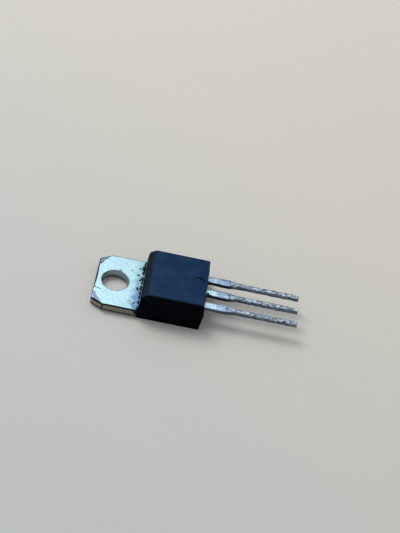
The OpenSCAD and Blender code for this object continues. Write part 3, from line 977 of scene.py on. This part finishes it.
# %% [markdown]
# ## Floor, light and camera
# The floor is a sheet of matt off-white card, painted a touch lighter and warmer towards the far
# right as a painted fall-off of the light. The light is that of a table beside a window: a large
# cool panel behind, which the tin mirrors, a smaller lamp high on the left that throws the soft
# shadow, and a pale room all round.

# %% Card floor
FLOOR_DROP, FLOOR_X, RINGS, SPOKES = 0.02, 10, 24, 64
radius = np.geomspace(4, 1500, RINGS)[:, None]
angle = fan(SPOKES, 0, 2 * np.pi, last=False)
sheet = np.stack([FLOOR_X + radius * np.cos(angle), radius * np.sin(angle),
                  -FLOOR_DROP + 0 * radius * angle], -1)
floor_mesh = bpy.data.meshes.new("card_floor")
floor_faces = ring_cells(RINGS, SPOKES)[:, ::-1].tolist() + [list(range(SPOKES))]
floor_mesh.from_pydata((sheet.reshape(-1, 3) * MM).tolist(), [], floor_faces)
floor = new_object("card_floor", floor_mesh)
card = new_material("matt_card", Roughness=0.9, Specular_IOR_Level=0.2)
card_place = stretched_place(card)
fibre = add(card, "TexNoise", {
    "Vector": card_place, "Scale": per_metre(0.8), "Detail": 4, "Roughness": 0.55})[0]
painted_light_gradient = add(card, "VectorMath", {0: card_place, 1: (6.0, 7.0, 0.0)}, operation="DOT_PRODUCT")["Value"]
# painted light: the card is painted lighter and warmer towards the far right, for the fall-off of the
# light
card_tone_and_light_falloff = layer(card, "#CCCED0", "#D9D5CB", (painted_light_gradient, -0.45, 0.6))
card_tone_and_light_falloff = layer(card, card_tone_and_light_falloff, "#B8B4A8", (fibre, 0.3, 0.7, 0.0, 0.06))
connect(card, {"Base Color": card_tone_and_light_falloff})
floor_mesh.materials.append(card)
print("card_floor:", len(floor_faces), "faces, out to", radius.max() * MM, "m")

# %% Lamps and room
def panel(name, target, heading, distance, width, height, radiance, colour):
    """A lamp panel that faces the target from a heading. Its power is pi times the area times
    the radiance, so a radiance of 1 would look as bright as white card."""
    heading = Vector(heading).normalized()
    data = bpy.data.lights.new(name, "AREA")
    data.shape, data.size, data.size_y = "RECTANGLE", width, height
    data.energy = math.pi * width * height * radiance
    data.color = linear(colour)[:3]
    lamp = new_object(name, data)
    lamp.location = Vector(target) * MM + heading * distance
    lamp.rotation_euler = heading.to_track_quat("Z", "Y").to_euler()
    print(name, "power", round(data.energy, 3), "W at", [round(c, 2) for c in lamp.location])


MIDDLE = (8, 0, 1)
panel("window_panel", MIDDLE, (0.05, 0.72, 0.69), 0.55, 0.38, 0.3, 0.5, "#E6F8FF")
panel("high_lamp", MIDDLE, (-0.42, 0.42, 0.80), 0.6, 0.3, 0.3, 6.9, "#FFFDFA")

# A dark flag on the camera's side keeps the room's light off the walls that look that way
FLAG_WAY, FLAG_FAR, FLAG_HALF, FLAG_FOOT, FLAG_HEAD = (0.0, -0.73, 0.68), 0.4, 0.22, -0.13, 0.17
flag_at = Vector(MIDDLE) * MM + Vector(FLAG_WAY) * FLAG_FAR
flag_corners = [flag_at + Vector((x, y * FLAG_WAY[2], -y * FLAG_WAY[1])) for x, y in (
    (-FLAG_HALF, FLAG_FOOT), (FLAG_HALF, FLAG_FOOT), (FLAG_HALF, FLAG_HEAD), (-FLAG_HALF, FLAG_HEAD))]
flag_mesh = bpy.data.meshes.new("dark_flag")
flag_mesh.from_pydata(flag_corners, [], [(0, 1, 2, 3)])
flag = new_object("dark_flag", flag_mesh)
flag_mesh.materials.append(new_material("dark_felt", Base_Color=linear("#15171A"), Roughness=1.0))
flag.visible_camera = False

world = bpy.data.worlds.new("pale_room")
world.use_nodes = True
world.node_tree.nodes["Background"].inputs["Color"].default_value = linear("#BFC1C2")
bpy.context.scene.world = world

# %% Camera
CAMERA_AT = (2.9937, -108.3587, 112.0150)
RIGHT, UP = (0.97814, 0.10196, 0.18124), (-0.20087, 0.68870, 0.69666)
FORWARD = (0.05379, 0.71784, -0.69413)
FOCAL_PX, PICTURE_H = 1094.837, 533
camera_data = bpy.data.cameras.new("camera")
camera_data.sensor_width = 36.0
camera_data.lens = FOCAL_PX * camera_data.sensor_width / PICTURE_H
camera_data.clip_start = 0.005
camera = new_object("camera", camera_data)
camera.matrix_world = Matrix.Translation(Vector(CAMERA_AT) * MM) @ Matrix(
    (RIGHT, UP, [-f for f in FORWARD])).transposed().to_4x4()
bpy.context.scene.camera = camera
bpy.context.scene.view_settings.view_transform = "Standard"
print("lens", round(camera_data.lens, 2), "mm")
